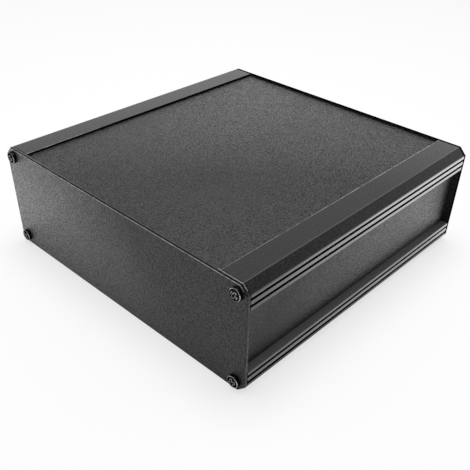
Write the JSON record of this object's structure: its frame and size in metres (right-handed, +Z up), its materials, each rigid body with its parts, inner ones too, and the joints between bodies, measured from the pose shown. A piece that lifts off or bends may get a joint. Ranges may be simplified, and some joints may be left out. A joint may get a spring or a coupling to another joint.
{
  "type": "extruded aluminium enclosure",
  "caption": "Low square instrument case of black anodised corner extrusions with slide-in panels and screwed end plates, for housing circuit boards.",
  "frame": {"origin": "middle of the footprint, on the plane that the lower rails and end plates stand on", "axes": "+X along the rails towards the right end plate, -Y out of the grooved front, +Z up"},
  "size_m": [0.2576, 0.25, 0.084],
  "materials": {
    "rail_anodised": "black anodised extrusion, matte, fine die grain",
    "panel_anodised": "black anodised sheet, sandblasted, matte",
    "plate_anodised": "black anodised plate, fine sandblasted",
    "screw_black": "black zinc plated steel, satin"
  },
  "bodies": {
    "root": {"front_bottom_rail": "rail_anodised", "front_top_rail": "rail_anodised", "rear_bottom_rail": "rail_anodised", "rear_top_rail": "rail_anodised", "top_panel": "panel_anodised", "bottom_panel": "panel_anodised", "front_panel": "panel_anodised", "rear_panel": "panel_anodised", "left_end_plate": "plate_anodised", "right_end_plate": "plate_anodised", "screw_left_front_bottom": "screw_black", "screw_left_front_top": "screw_black", "screw_left_rear_bottom": "screw_black", "screw_left_rear_top": "screw_black", "screw_right_front_bottom": "screw_black", "screw_right_front_top": "screw_black", "screw_right_rear_bottom": "screw_black", "screw_right_rear_top": "screw_black"}
  },
  "joints": []
}
